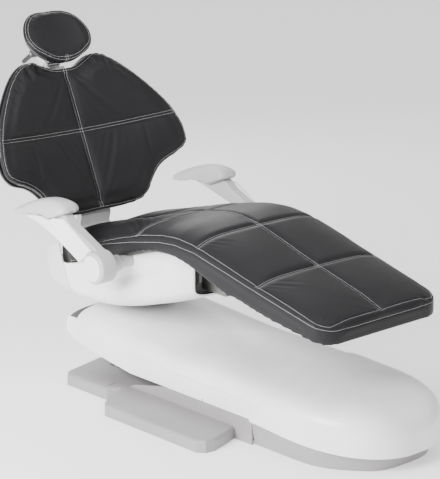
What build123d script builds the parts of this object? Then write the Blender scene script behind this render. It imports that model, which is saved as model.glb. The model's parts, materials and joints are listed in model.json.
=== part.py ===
from build123d import *
import os
from math import atan2, cos, degrees, hypot, radians, sin, tan

os.makedirs("parts", exist_ok=True)

# ---------------------------------------------------------------- frame
# Dental treatment chair, millimetres, +Z up.  The patient faces -Y, the patient's right is -X.
# The origin is on the floor at the centre of the four floor anchors.

# ------------------------------------------------ driving dimensions: lift
ARM_PIVOT = (-385, 110)             # (y, z) of the lift arm's pivot in the base
BLOCK_PIVOT = (300, 158)            # (y, z) of the pivot at the arm's rear end
LINK_DROP = 50                      # the level link runs this far below the arm
BARREL_PIVOT = (-355, 40)           # (y, z) lower pivot of the lift cylinder
ROD_PIVOT = (-85, 118)              # (y, z) pin of the lift cylinder in the arm
RUN = 0.05                          # radial running clearance of every shaft

# ------------------------------------------------ driving dimensions: base
ANCHOR_X, ANCHOR_Y, ANCHOR_R = 320, 460, 7
PLATE = (390, 700, 10)              # base plate width, length, thickness
PLATE_MID_Y = -67
WALL_X, WALL_TOP = 213, 74          # grey base wall: half width and height
WING_TOP = 36
DECK_FRONT, WELL_X = -70, 130
SEAM_Y = -438                       # joint between the toe cover and the arm cover
TOE_Y, TOE_W = -862, 224            # tip and half width of the toe
TOE_BAND_REAR, TOE_BAND_TIP = 72, 44

# ------------------------------------------------ driving dimensions: arm covers
COVER_W = 219
COVER_T = 4
ARM_POWER = 3.2                     # squareness of the arm covers' shoulders
REAR_SLOPE = 4.3                    # rise of the rear arm cover, degrees
COVER_SPLIT_Y = -92                 # joint between the front and rear arm covers
CAP_Y = 322                         # joint between the rear arm cover and its end cap
END_R = 68                          # radius of the arm's rear end about BLOCK_PIVOT

# ------------------------------------------------ driving dimensions: upper
SWIVEL_Y = 260
TILT_PIVOT = (300, 285)
RECLINE_PIVOT = (400, 395)
CYL_PIVOT = (210, 348)              # recline cylinder, frame end
CYL_LEVER = (418.7, 348.6)          # recline cylinder, back arm end
ARM_AXIS = (80, 420)                # (y, z) of the armrest hubs
BOSS_R = 18                         # armrest boss where it enters the casing
FRAME_X0, FRAME_X1 = 99, 109        # side plates of the seat frame

# ------------------------------------------------ driving dimensions: upholstery
SEAT_W = 244
SEAT_TOP = [(376, 424), (222, 467), (27, 537), (-60, 558), (-130, 563), (-236, 548), (-358, 514),
            (-473, 478), (-572, 445), (-700, 398), (-728, 366)]
SEAT_UNDER = [(-722, 352), (-553, 388), (-457, 407), (-358, 429), (-216, 468), (-160, 479), (-111, 482),
              (-60, 479), (-3, 466), (108, 431), (222, 396), (338, 368)]
PAN_GAP, PAN_T = 0.5, 4
BACK_TILT = 23.4                    # recline from vertical as stored
BACK_CROSS = (543, 699)             # (y, z) crossing of the back's seams
BACK_T = 42                         # back cushion thickness
BACK_SHELL_T = 7
BACK_CURVE = 0.00048                # forward wrap: depth = BACK_CURVE * x * x
HEAD_TILT = 40
HEAD_FACE = (658, 988)              # (y, z) centre of the headrest's face
HEAD_T = 48
HINGE_LOW = (697, 880)
HINGE_HIGH = (741, 912)


def finish(builder, label):
    """Label a finished piece and write its STEP file."""
    builder.part.label = label
    export_step(builder.part, f"parts/{label}.step")


def block(x0, x1, y0, y1, z0, z1, mode=Mode.ADD):
    """Box between two corners."""
    with Locations(((x0 + x1) / 2, (y0 + y1) / 2, (z0 + z1) / 2)):
        Box(abs(x1 - x0), abs(y1 - y0), abs(z1 - z0), mode=mode)


def disc_x(x0, x1, centre, radius, mode=Mode.ADD):
    """Cylinder along X between x0 and x1 at (y, z) = centre."""
    with BuildSketch(Plane.YZ.offset(x0)) as profile:
        with Locations(centre):
            Circle(radius)
    extrude(profile.sketch, amount=x1 - x0, mode=mode)


def disc_z(z0, z1, centre, radius, mode=Mode.ADD):
    """Upright cylinder between z0 and z1 at (x, y) = centre."""
    with BuildSketch(Plane.XY.offset(z0)) as profile:
        with Locations(centre):
            Circle(radius)
    extrude(profile.sketch, amount=z1 - z0, mode=mode)


def slab_x(x0, x1, outline, mode=Mode.ADD):
    """Prism along X between x0 and x1 whose (y, z) outline is a closed polygon."""
    with BuildSketch(Plane.YZ.offset(x0)) as profile:
        with BuildLine():
            Polyline(*outline, close=True)
        make_face()
    extrude(profile.sketch, amount=x1 - x0, mode=mode)


def bar_x(x0, x1, start, end, half_height, mode=Mode.ADD):
    """Straight bar with round ends from start to end, both (y, z), between x0 and x1."""
    length = hypot(end[0] - start[0], end[1] - start[1])
    turn = degrees(atan2(end[1] - start[1], end[0] - start[0]))
    middle = ((start[0] + end[0]) / 2, (start[1] + end[1]) / 2)
    with BuildSketch(Plane.YZ.offset(x0)) as profile:
        with Locations(Location((middle[0], middle[1], 0), (0, 0, turn))):
            SlotCenterToCenter(length, 2 * half_height)
    extrude(profile.sketch, amount=x1 - x0, mode=mode)


def tube_between(start, end, radius, mode=Mode.ADD):
    """Cylinder in the middle plane between two (y, z) points."""
    run, rise = end[0] - start[0], end[1] - start[1]
    axis = Plane(origin=(0, start[0], start[1]), x_dir=(1, 0, 0), z_dir=(0, run, rise))
    with BuildSketch(axis) as profile:
        Circle(radius)
    extrude(profile.sketch, amount=hypot(run, rise), mode=mode)


def along(start, end, distance):
    """Point at a distance from start towards end."""
    length = hypot(end[0] - start[0], end[1] - start[1])
    return (start[0] + (end[0] - start[0]) * distance / length,
            start[1] + (end[1] - start[1]) * distance / length)


def lowered(points, amount):
    """The same (y, z) points moved straight down."""
    return [(y, z - amount) for y, z in points]


# =====================================================================  BASE
with BuildPart() as base_plate:
    block(-PLATE[0] / 2, PLATE[0] / 2, PLATE_MID_Y - PLATE[1] / 2, PLATE_MID_Y + PLATE[1] / 2, 0, PLATE[2])
    fillet(base_plate.edges().filter_by(Axis.Z), 18)
    with Locations((0, 0, PLATE[2])):
        with GridLocations(ANCHOR_X, ANCHOR_Y, 2, 2):
            Hole(ANCHOR_R, depth=PLATE[2])
finish(base_plate, "base_plate")

with BuildPart() as base_shroud:
    with BuildSketch():
        with BuildLine():
            Polyline((0, SEAM_Y + 1), (WALL_X, SEAM_Y + 1), (WALL_X, -368), (318, -402), (348, -398), (364, -376),
                     (364, 14), (346, 36), (248, 90), (276, 112), (276, 296), (258, 316), (116, 351), (0, 351),
                     close=True)
        make_face()
        mirror(about=Plane.YZ)
    extrude(amount=WING_TOP)
    fillet(base_shroud.faces().sort_by(Axis.Z)[-1].edges(), 9)
    # raised side walls, falling away towards the rear
    slab_x(-WALL_X, WALL_X, [(SEAM_Y + 1, 0), (SEAM_Y + 1, WALL_TOP), (-70, WALL_TOP), (60, 46), (120, 20),
                             (120, 0)])
    # raised contour on each rear wing
    for side in (-1, 1):
        with BuildSketch(Plane.XY.offset(WING_TOP - 1)):
            with Locations((side * 243, 205)):
                RectangleRounded(34, 150, 12)
        extrude(amount=3)
    # hollow for the base plate, open well for the lift mechanism, and a deck either side of it
    block(-WALL_X + 6, WALL_X - 6, SEAM_Y, 288, -1, WING_TOP - 6, mode=Mode.SUBTRACT)
    block(-WALL_X + 6, WALL_X - 6, SEAM_Y, DECK_FRONT, 0, 90, mode=Mode.SUBTRACT)
    block(-WALL_X + 6, WALL_X - 6, SEAM_Y, 150, WING_TOP, 90, mode=Mode.SUBTRACT)
    block(-WELL_X, WELL_X, SEAM_Y, 276, 0, 90, mode=Mode.SUBTRACT)
    # hollows under the wings
    for side in (-1, 1):
        for x0, x1, y0, y1 in ((222, 350, -358, 4), (216, 264, 120, 286)):
            block(side * x0, side * x1, y0, y1, -1, WING_TOP - 7, mode=Mode.SUBTRACT)
finish(base_shroud, "base_shroud")

with BuildPart() as shroud_screw_caps:
    for side in (-1, 1):
        disc_x(side * WALL_X, side * (WALL_X + 1.2), (-398, 58), 6.5)
finish(shroud_screw_caps, "shroud_screw_caps")


def toe_outline(z, width, tip):
    """Plan outline of the toe at one height: straight sides closing in a full round nose."""
    start = -540
    with BuildSketch(Plane.XY.offset(z)) as profile:
        with BuildLine():
            Line((0, SEAM_Y), (width, SEAM_Y))
            Line((width, SEAM_Y), (width, start))
            Spline((width, start), (0.92 * width, 0.45 * start + 0.55 * tip), (0.62 * width, 0.13 * start + 0.87 * tip),
                   (0, tip), tangents=[(0, -1), (-1, 0)])
            Line((0, tip), (0, SEAM_Y))
        make_face()
        mirror(about=Plane.YZ)
    return profile.sketch


def toe_band_solid(inset, mode=Mode.ADD):
    """The toe's skirt: narrower at the floor than at its top."""
    floor_line = toe_outline(0, TOE_W - 22 - inset, TOE_Y + 46 + inset)
    top_line = toe_outline(90, TOE_W - 5 - inset, TOE_Y + 6 + inset)
    loft([floor_line, top_line], mode=mode)


BAND_SLOPE = (TOE_BAND_REAR - TOE_BAND_TIP) / (SEAM_Y - TOE_Y)
band_cut = Plane(origin=(0, SEAM_Y, TOE_BAND_REAR), x_dir=(1, 0, 0), z_dir=(0, -BAND_SLOPE, 1))

with BuildPart() as toe_band:
    toe_band_solid(0)
    toe_band_solid(5, mode=Mode.SUBTRACT)
    block(-TOE_W, TOE_W, SEAM_Y - 0.1, SEAM_Y + 20, -1, 100, mode=Mode.SUBTRACT)
    split(bisect_by=band_cut, keep=Keep.BOTTOM)
finish(toe_band, "toe_band")


def crown_section(y, width, z_side, z_top, z_low=30, power=3.0):
    """Upright section across a cover: straight sides under a crowned top."""
    rise = z_top - z_side
    crown = [(width * x, z_side + rise * (1 - x ** power) ** (1 / power)) for x in (0.985, 0.93, 0.8, 0.5)]
    with BuildSketch(Plane.XZ.offset(-y)) as profile:
        with BuildLine():
            Polyline((-width, z_side), (-width, z_low), (width, z_low), (width, z_side))
            Spline((width, z_side), *crown, (0, z_top), *[(-x, z) for x, z in reversed(crown)],
                   (-width, z_side))
        make_face()
    return profile.sketch


def toe_cover_solid(inset, mode=Mode.ADD):
    """Toe cover: crowned sections that close in towards the nose."""
    start = -560
    sections = [crown_section(SEAM_Y, TOE_W - inset, 122, 194 - inset),
                crown_section(-500, TOE_W - inset, 120, 192 - inset)]
    for t in (0.0, 0.3, 0.55, 0.75, 0.88, 0.955, 0.993):
        y = start + t * (TOE_Y + inset - start)
        round_off = (1 - t ** 2.3) ** (1 / 2.3)
        drop = (1 - t ** 3.2) ** (1 / 3.2)
        width = (TOE_W - inset) * round_off
        z_top = 84 + (189 - inset - 84) * drop - 14 * t
        z_side = 62 + (118 - 62) * drop - 10 * t
        sections.append(crown_section(y, width, z_side, z_top))
    loft(sections, mode=mode)


with BuildPart() as toe_cover:
    toe_cover_solid(0)
    toe_cover_solid(COVER_T, mode=Mode.SUBTRACT)
    split(bisect_by=band_cut, keep=Keep.TOP)
finish(toe_cover, "toe_cover")

with BuildPart() as pivot_bracket:
    for side in (-1, 1):
        slab_x(side * 98, side * 116, [(-440, 10), (-330, 10), (-352, 118), (-372, 138), (-398, 138), (-418, 118)])
        slab_x(side * 57, side * 66, [(-415, 10), (-355, 10), (-366, 72), (-404, 72)])
        slab_x(side * 30, side * 39, [(-385, 10), (-325, 10), (-340, 58), (-370, 58)])
    block(-116, 116, -400, -380, 10, 24)
    disc_x(-120, 120, ARM_PIVOT, 16, mode=Mode.SUBTRACT)
    disc_x(-70, 70, (ARM_PIVOT[0], ARM_PIVOT[1] - LINK_DROP), 9, mode=Mode.SUBTRACT)
    disc_x(-42, 42, BARREL_PIVOT, 9, mode=Mode.SUBTRACT)
finish(pivot_bracket, "pivot_bracket")

with BuildPart() as lift_pivot_shaft:
    disc_x(-124, 124, ARM_PIVOT, 16)
finish(lift_pivot_shaft, "lift_pivot_shaft")

with BuildPart() as base_pins:
    disc_x(-68, 68, (ARM_PIVOT[0], ARM_PIVOT[1] - LINK_DROP), 9)
    disc_x(-41, 41, BARREL_PIVOT, 9)
finish(base_pins, "base_pins")

with BuildPart() as pump_tray:
    block(-150, 150, -740, -450, 6, 10)
    for x in (-130, 130):
        for y in (-720, -470):
            disc_z(0, 6, (x, y), 14)
finish(pump_tray, "pump_tray")

with BuildPart() as pump_motor:
    with BuildSketch(Plane.YZ.offset(-120)):
        with Locations((-560, 62)):
            Circle(46)
    extrude(amount=120)
    disc_x(-128, -120, (-560, 62), 40)
    block(-110, -10, -592, -528, 10, 30)
finish(pump_motor, "pump_motor")

with BuildPart() as hydraulic_pump:
    block(0, 58, -594, -526, 14, 92)
    disc_x(58, 66, (-560, 60), 20)
    for y in (-576, -546):
        disc_z(92, 104, (30, y), 9)
finish(hydraulic_pump, "hydraulic_pump")

with BuildPart() as oil_reservoir:
    block(-110, 90, -720, -620, 10, 100)
    fillet(oil_reservoir.edges().filter_by(Axis.Z), 16)
    disc_z(100, 112, (50, -670), 18)
finish(oil_reservoir, "oil_reservoir")

with BuildPart() as control_box:
    block(-140, 20, -510, -452, 10, 75)
    block(-120, 0, -500, -462, 75, 79)
finish(control_box, "control_box")

with BuildPart() as power_supply:
    block(78, 142, -600, -500, 10, 84)
    fillet(power_supply.edges().filter_by(Axis.Z), 6)
finish(power_supply, "power_supply")

# =====================================================================  LIFT ARM
LINK_FRONT = (ARM_PIVOT[0], ARM_PIVOT[1] - LINK_DROP)
LINK_REAR = (BLOCK_PIVOT[0], BLOCK_PIVOT[1] - LINK_DROP)

with BuildPart() as lift_arm:
    for side in (-1, 1):
        bar_x(side * 70, side * 82, ARM_PIVOT, BLOCK_PIVOT, 30)
        slab_x(side * 16, side * 26, [(-115, 157.5), (-55, 161.5), (-69, 118), (-101, 118)])
        disc_x(side * 16, side * 26, ROD_PIVOT, 18)
    # top plate and cross tubes that carry the covers
    slab_x(-70, 70, [(-330, 138), (200, 175), (200, 181), (-330, 144)])
    for y, z in ((-300, 129), (-40, 147), (210, 166)):
        disc_x(-COVER_W + 11, -70, (y, z), 11)
        disc_x(70, COVER_W - 11, (y, z), 11)
    disc_x(-90, 90, ARM_PIVOT, 22, mode=Mode.SUBTRACT)
    disc_x(-90, 90, BLOCK_PIVOT, 14, mode=Mode.SUBTRACT)
    disc_x(-30, 30, ROD_PIVOT, 8, mode=Mode.SUBTRACT)
finish(lift_arm, "lift_arm")

with BuildPart() as lift_pivot_bushes:
    for side in (-1, 1):
        disc_x(side * 66, side * 88, ARM_PIVOT, 22)
        disc_x(side * 66, side * 88, ARM_PIVOT, 16 + RUN, mode=Mode.SUBTRACT)
finish(lift_pivot_bushes, "lift_pivot_bushes")

with BuildPart() as arm_pins:
    disc_x(-90, 90, BLOCK_PIVOT, 14)
    disc_x(-28, 28, ROD_PIVOT, 8)
finish(arm_pins, "arm_pins")


def lower_edge_cut(above):
    """Remove what lies under the arm covers' lower edge."""
    edge = [(-460, 76), (-92, 78), (72, 79), (223, 99), (345, 124), (380, 142)]
    slab_x(-260, 260, [(-460, -10)] + [(y, z + above) for y, z in edge] + [(380, -10)], mode=Mode.SUBTRACT)


def arm_cover_shell(width, z_side, z_top, y_front, y_rear, slope):
    """Open-bottomed cover: one crowned wall section carried rearwards, rising by the slope in degrees."""
    with BuildSketch(Plane.XZ.offset(-y_front)) as wall:
        add(crown_section(0, width, z_side, z_top, power=ARM_POWER))
        add(crown_section(0, width - COVER_T, z_side - 2, z_top - COVER_T, 20, ARM_POWER), mode=Mode.SUBTRACT)
    length = (y_rear - y_front) / cos(radians(slope))
    extrude(wall.sketch, amount=length, dir=(0, cos(radians(slope)), sin(radians(slope))))
    block(-300, 300, y_front - 40, y_rear + 40, -60, 70, mode=Mode.SUBTRACT)


with BuildPart() as arm_front_cover:
    arm_cover_shell(COVER_W, 122, 186, SEAM_Y + 4, COVER_SPLIT_Y, 1.2)
    lower_edge_cut(0)
    # shallow moulded slots in the lower edge
    for side in (-1, 1):
        block(side * (COVER_W - 6), side * (COVER_W + 1), -243, -239, 70, 84, mode=Mode.SUBTRACT)
finish(arm_front_cover, "arm_front_cover")

with BuildPart() as arm_rear_cover:
    arm_cover_shell(COVER_W - 1.5, 134, 191.5, COVER_SPLIT_Y + 0.5, CAP_Y, REAR_SLOPE)
    lower_edge_cut(0)
    # opening for the neck of the level block, which leans as the arm rises
    block(-68, 68, 258, CAP_Y + 5, 170, 260, mode=Mode.SUBTRACT)
finish(arm_rear_cover, "arm_rear_cover")


def end_profile(x, radius, y_front):
    """Side profile of the arm's rounded rear end, at one x."""
    top = (y_front, BLOCK_PIVOT[1] + (radius ** 2 - (y_front - BLOCK_PIVOT[0]) ** 2) ** 0.5)
    mid = (BLOCK_PIVOT[0] + radius * cos(radians(28)), BLOCK_PIVOT[1] + radius * sin(radians(28)))
    low = (BLOCK_PIVOT[0] + radius * cos(radians(-14)), BLOCK_PIVOT[1] + radius * sin(radians(-14)))
    with BuildSketch(Plane.YZ.offset(x)) as profile:
        with BuildLine():
            ThreePointArc(top, mid, low)
            Polyline(low, (y_front, 118), top)
        make_face()
    return profile.sketch


with BuildPart() as arm_rear_cap:
    extrude(end_profile(-COVER_W + 1.5, END_R, CAP_Y + 0.6), amount=2 * COVER_W - 3)
    extrude(end_profile(-COVER_W + 1.5 + COVER_T, END_R - COVER_T, CAP_Y - 1),
            amount=2 * (COVER_W - 1.5 - COVER_T), mode=Mode.SUBTRACT)
    lift = (CAP_Y - COVER_SPLIT_Y) * tan(radians(REAR_SLOPE))
    extrude(crown_section(CAP_Y - 2, COVER_W - 1.5, 134 + lift, 191.5 + lift, power=ARM_POWER),
            amount=-100, mode=Mode.INTERSECT)
    block(-68, 68, CAP_Y - 5, 380, 176, 240, mode=Mode.SUBTRACT)
    lower_edge_cut(0)
finish(arm_rear_cap, "arm_rear_cap")

with BuildPart() as stop_plate:
    for side in (-1, 1):
        slab_x(side * 70, side * 204, [(150, 76.5), (316, 107.1), (316, 111.1), (150, 80.5)])
    slab_x(-70, 70, [(150, 76.5), (160, 78.3), (160, 82.3), (150, 80.5)])
    for x in (-150, 150):
        for y, z in ((190, 86.5), (290, 104.5)):
            disc_z(z, z + 26, (x, y), 5)
finish(stop_plate, "stop_plate")

with BuildPart() as level_links:
    for side in (-1, 1):
        bar_x(side * 43, side * 53, LINK_FRONT, LINK_REAR, 9)
        for eye in (LINK_FRONT, LINK_REAR):
            disc_x(side * 43, side * 53, eye, 17)
    disc_x(-60, 60, LINK_FRONT, 9 + RUN, mode=Mode.SUBTRACT)
    disc_x(-60, 60, LINK_REAR, 10, mode=Mode.SUBTRACT)
finish(level_links, "level_links")

BARREL_LEN, ROD_IN = 205, 120
with BuildPart() as lift_cylinder_barrel:
    tube_between(BARREL_PIVOT, along(BARREL_PIVOT, ROD_PIVOT, BARREL_LEN), 27)
    disc_x(-27, 27, BARREL_PIVOT, 20)
    tube_between(along(BARREL_PIVOT, ROD_PIVOT, ROD_IN - 12), along(BARREL_PIVOT, ROD_PIVOT, BARREL_LEN + 5),
                 12 + RUN, mode=Mode.SUBTRACT)
    disc_x(-30, 30, BARREL_PIVOT, 9 + RUN, mode=Mode.SUBTRACT)
finish(lift_cylinder_barrel, "lift_cylinder_barrel")

with BuildPart() as lift_cylinder_rod:
    tube_between(along(BARREL_PIVOT, ROD_PIVOT, ROD_IN), ROD_PIVOT, 12)
    disc_x(-13, 13, ROD_PIVOT, 17)
    disc_x(-14, 14, ROD_PIVOT, 12.5, mode=Mode.SUBTRACT)
finish(lift_cylinder_rod, "lift_cylinder_rod")

# =====================================================================  LEVEL BLOCK AND SWIVEL
with BuildPart() as level_block:
    disc_x(-60, 60, BLOCK_PIVOT, 26)
    block(-58, 58, BLOCK_PIVOT[0] - 26, BLOCK_PIVOT[0] + 26, BLOCK_PIVOT[1], 232)
    slab_x(-36, 36, [(283, 158), (317, 158), (314, 108), (286, 108)])
    disc_x(-36, 36, LINK_REAR, 16)
    disc_z(229, 239, (0, SWIVEL_Y), 72)
    disc_x(-62, 62, BLOCK_PIVOT, 14 + RUN, mode=Mode.SUBTRACT)
    disc_x(-40, 40, LINK_REAR, 9, mode=Mode.SUBTRACT)
finish(level_block, "level_block")

with BuildPart() as level_pin:
    disc_x(-57, 57, LINK_REAR, 9)
finish(level_pin, "level_pin")

with BuildPart() as swivel_bearing:
    disc_z(239, 246, (0, SWIVEL_Y), 66)
    disc_z(238, 247, (0, SWIVEL_Y), 30, mode=Mode.SUBTRACT)
finish(swivel_bearing, "swivel_bearing")

with BuildPart() as swivel_carriage:
    disc_z(246.1, 258, (0, SWIVEL_Y), 70)
    disc_z(236, 247, (0, SWIVEL_Y), 30 - RUN)
    block(-96, 96, 285, 315, 250, 260)
    for side in (-1, 1):
        slab_x(side * 84, side * 96, [(272, 250), (328, 250), (316, 296), (306, 302), (294, 302), (284, 296)])
    disc_x(-100, 100, TILT_PIVOT, 11, mode=Mode.SUBTRACT)
    disc_z(230, 239.1, (0, SWIVEL_Y), 40, mode=Mode.SUBTRACT)
finish(swivel_carriage, "swivel_carriage")

with BuildPart() as tilt_shaft:
    disc_x(-112, 112, TILT_PIVOT, 11)
finish(tilt_shaft, "tilt_shaft")

# =====================================================================  SEAT FRAME
PAN_TOP = lowered(SEAT_UNDER, PAN_GAP)
PAN_UNDER = lowered(SEAT_UNDER, PAN_GAP + PAN_T)

with BuildPart() as seat_frame:
    under = [p for p in PAN_UNDER if -150 < p[0] < 300]
    for side in (-1, 1):
        slab_x(side * FRAME_X0, side * FRAME_X1,
               [(y, z - 0.6) for y, z in under] + [(340, 358), (385, 372), (385, 413), (412, 413), (424, 395),
                (424, 372), (372, 290), (300, 268), (180, 272), (60, 300), (-60, 345), (-108, 372)])
    for y, z in ((40, 380), (170, 360)):
        disc_x(-FRAME_X0, FRAME_X0, (y, z), 12)
    for side in (-1, 1):
        disc_x(side * FRAME_X1, side * 126, ARM_AXIS, 13)
        slab_x(side * 28, side * 36, [(190, 358), (230, 358), (226, 322), (196, 322)])
        disc_x(side * 28, side * 36, CYL_PIVOT, 15)
        block(side * 36, side * FRAME_X0, 196, 226, 345, 355)
        # cheek plates that fill the casing's side notches
        slab_x(side * 196, side * 202, [(372, 338), (398, 338), (402, 390), (392, 408), (378, 410), (352, 378),
                                        (347, 362)])
        disc_x(side * FRAME_X1, side * 196, (385, 350), 9)
    disc_x(-130, 130, ARM_AXIS, 10, mode=Mode.SUBTRACT)
    disc_x(-130, 130, TILT_PIVOT, 11 + RUN, mode=Mode.SUBTRACT)
    disc_x(-130, 130, RECLINE_PIVOT, 12, mode=Mode.SUBTRACT)
    disc_x(-40, 40, CYL_PIVOT, 8, mode=Mode.SUBTRACT)
finish(seat_frame, "seat_frame")

with BuildPart() as recline_pins:
    disc_x(-FRAME_X1 - 4, FRAME_X1 + 4, RECLINE_PIVOT, 12)
    disc_x(-37, 37, CYL_PIVOT, 8)
finish(recline_pins, "recline_pins")


def hull_section(y, width, keel):
    """U-shaped section across the under-seat casing, from its keel up past the seat's underside."""
    rim = 500
    bilge = keel + 0.45 * (400 - keel)
    corner = keel + 0.1 * (bilge - keel)
    with BuildSketch(Plane.XZ.offset(-y)) as profile:
        with BuildLine():
            Polyline((-width, bilge), (-width, rim), (width, rim), (width, bilge))
            Bezier((width, bilge), (width, corner), (0.7 * width, keel), (0, keel))
            Bezier((0, keel), (-0.7 * width, keel), (-width, corner), (-width, bilge))
        make_face()
    return profile.sketch


HULL = [(-115, 132, 328), (-80, 160, 313), (-30, 188, 296), (30, 212, 279), (110, 230, 257), (190, 238, 243),
        (270, 240, 239), (350, 237, 239), (420, 228, 247), (475, 208, 277), (502, 182, 318)]


def hull_solid(inset, mode=Mode.ADD):
    """Casing under the seat: a boat-shaped hull, open in front and blunt behind."""
    last = HULL[-1][0]
    sections = [hull_section(y - (inset if y == last else 0), width - inset, keel + inset)
                for y, width, keel in HULL]
    loft(sections, mode=mode)


casing_split = Plane(origin=(0, 310, 249), x_dir=(1, 0, 0), z_dir=(0, 105, -44))


def casing_openings():
    """Openings of the under-seat casing: swivel, armrest axles and the seat's underside."""
    disc_z(225, 275, (0, SWIVEL_Y), 98, mode=Mode.SUBTRACT)
    disc_x(-260, 260, ARM_AXIS, BOSS_R + 2.5, mode=Mode.SUBTRACT)
    slab_x(-300, 300, lowered(SEAT_UNDER, PAN_GAP + PAN_T + 2) + [(338, 620), (-722, 620)],
           mode=Mode.SUBTRACT)


with BuildPart() as bowl_shroud:
    hull_solid(0)
    hull_solid(COVER_T, mode=Mode.SUBTRACT)
    casing_openings()
    split(bisect_by=casing_split.offset(-0.6), keep=Keep.BOTTOM)
finish(bowl_shroud, "bowl_shroud")

with BuildPart() as rear_cover:
    hull_solid(0)
    hull_solid(COVER_T, mode=Mode.SUBTRACT)
    casing_openings()
    split(bisect_by=casing_split.offset(0.6), keep=Keep.TOP)
    # high cheeks either side of a low middle that the back cushion swings over
    slab_x(-165, 165, [(300, 375), (350, 378), (400, 378), (478, 352), (520, 320), (540, 320), (540, 520),
                       (280, 520), (280, 375)], mode=Mode.SUBTRACT)
    for side in (-1, 1):
        slab_x(side * 164, side * 300, [(300, 375), (358, 378), (376, 414), (465, 382), (490, 366), (506, 340),
                                        (540, 340), (540, 520), (280, 520), (280, 375)], mode=Mode.SUBTRACT)
    # slot that the back arm swings through
    block(-76, 76, 380, 540, 286, 480, mode=Mode.SUBTRACT)
finish(rear_cover, "rear_cover")

with BuildPart() as leg_bracket:
    for side in (-1, 1):
        slab_x(side * 50, side * 56, [(-60, 334), (-162, 331), (-174, 356), (-222, 440), (-232, 455), (-160, 472),
                                      (-60, 472)])
    slab_x(-50, 50, [(-60, 334), (-162, 331), (-174, 356), (-222, 440), (-218, 443), (-170, 360), (-159, 336),
                     (-60, 339)])
finish(leg_bracket, "leg_bracket")

with BuildPart() as seat_pan:
    slab_x(-SEAT_W + 22, SEAT_W - 22, PAN_TOP[1:] + PAN_UNDER[:0:-1])
finish(seat_pan, "seat_pan")


def seat_plan():
    """Plan outline of the seat: square shoulders, slightly narrower round toe."""
    with BuildSketch(Plane.XY.offset(300)) as profile:
        with BuildLine():
            Polyline((0, 378), (196, 378), (SEAT_W, 320), (SEAT_W, -300), (236, -650))
            Spline((236, -650), (218, -700), (165, -722), (0, -728), tangents=[(-0.03, -1), (-1, 0)])
            Line((0, -728), (0, 378))
        make_face()
        mirror(about=Plane.YZ)
    return profile.sketch


with BuildPart() as seat_cushion:
    with BuildSketch(Plane.YZ.offset(-SEAT_W)):
        with BuildLine():
            Spline(*SEAT_TOP)
            Line(SEAT_TOP[-1], SEAT_UNDER[0])
            Polyline(*SEAT_UNDER)
            Line(SEAT_UNDER[-1], SEAT_TOP[0])
        make_face()
    extrude(amount=2 * SEAT_W)
    extrude(seat_plan(), amount=300, mode=Mode.INTERSECT)
finish(seat_cushion, "seat_cushion")

# recline cylinder
with BuildPart() as recline_cylinder_barrel:
    tube_between(CYL_PIVOT, along(CYL_PIVOT, CYL_LEVER, 128), 14)
    disc_x(-26, 26, CYL_PIVOT, 14)
    tube_between(along(CYL_PIVOT, CYL_LEVER, 22), along(CYL_PIVOT, CYL_LEVER, 130), 8 + RUN, mode=Mode.SUBTRACT)
    disc_x(-28, 28, CYL_PIVOT, 8, mode=Mode.SUBTRACT)
finish(recline_cylinder_barrel, "recline_cylinder_barrel")

with BuildPart() as recline_cylinder_rod:
    tube_between(along(CYL_PIVOT, CYL_LEVER, 78), CYL_LEVER, 8)
    disc_x(-9, 9, CYL_LEVER, 13)
    disc_x(-10, 10, CYL_LEVER, 10, mode=Mode.SUBTRACT)
finish(recline_cylinder_rod, "recline_cylinder_rod")

# =====================================================================  BACK
BT = radians(BACK_TILT)
BACK_S = (sin(BT), cos(BT))         # (y, z) unit vector up the back
BACK_N = (-cos(BT), sin(BT))        # (y, z) unit vector out of the back's face


def on_back(s, n):
    """(y, z) of a point s up the back and n in front of its face, from the seam crossing."""
    return (BACK_CROSS[0] + s * BACK_S[0] + n * BACK_N[0], BACK_CROSS[1] + s * BACK_S[1] + n * BACK_N[1])


back_plane = Plane(origin=(0, BACK_CROSS[0], BACK_CROSS[1]), x_dir=(1, 0, 0), z_dir=(0, BACK_N[0], BACK_N[1]))
back_base = on_back(-330, 0)
back_section = Plane(origin=(0, back_base[0], back_base[1]), x_dir=(1, 0, 0), z_dir=(0, BACK_S[0], BACK_S[1]))


def back_outline(depth, shrink):
    """Outline of the back: winged shoulders, waist, narrow foot and a notch at the top."""
    half = [(0, 203), (52, 208), (122, 239), (172, 224), (226, 180), (277, 120), (328, 42), (356, -32),
            (357, -98), (328, -130), (278, -144), (236, -168), (206, -206), (176, -238), (115, -253), (0, -254)]
    with BuildSketch(back_plane.offset(depth)) as profile:
        with BuildLine():
            Spline(*[(x * shrink, s * shrink) for x, s in half], tangents=[(1, 0), (-1, 0)])
            Line((0, half[-1][1] * shrink), (0, half[0][1] * shrink))
        make_face()
        mirror(about=Plane.YZ)
    return profile.sketch


def back_layer(front, rear, shrink):
    """Curved layer of the back between two depths behind its face."""
    edge = 370
    wrap = BACK_CURVE * edge * edge
    with BuildSketch(back_section) as layer:
        with BuildLine():
            ThreePointArc((-edge, -front - wrap), (0, -front), (edge, -front - wrap))
            Line((edge, -front - wrap), (edge, -rear - wrap))
            ThreePointArc((edge, -rear - wrap), (0, -rear), (-edge, -rear - wrap))
            Line((-edge, -rear - wrap), (-edge, -front - wrap))
        make_face()
    extrude(layer.sketch, amount=600)
    extrude(back_outline(-110, shrink), amount=220, mode=Mode.INTERSECT)


with BuildPart() as back_cushion:
    back_layer(0, -BACK_T, 1.0)
finish(back_cushion, "back_cushion")

with BuildPart() as back_shell:
    back_layer(-BACK_T - 0.4, -BACK_T - 0.4 - BACK_SHELL_T, 0.98)
finish(back_shell, "back_shell")

SHELL_REAR = -(BACK_T + 0.4 + BACK_SHELL_T)
ARM_FRONT, ARM_REAR = SHELL_REAR - 1.2, SHELL_REAR - 13

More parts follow.
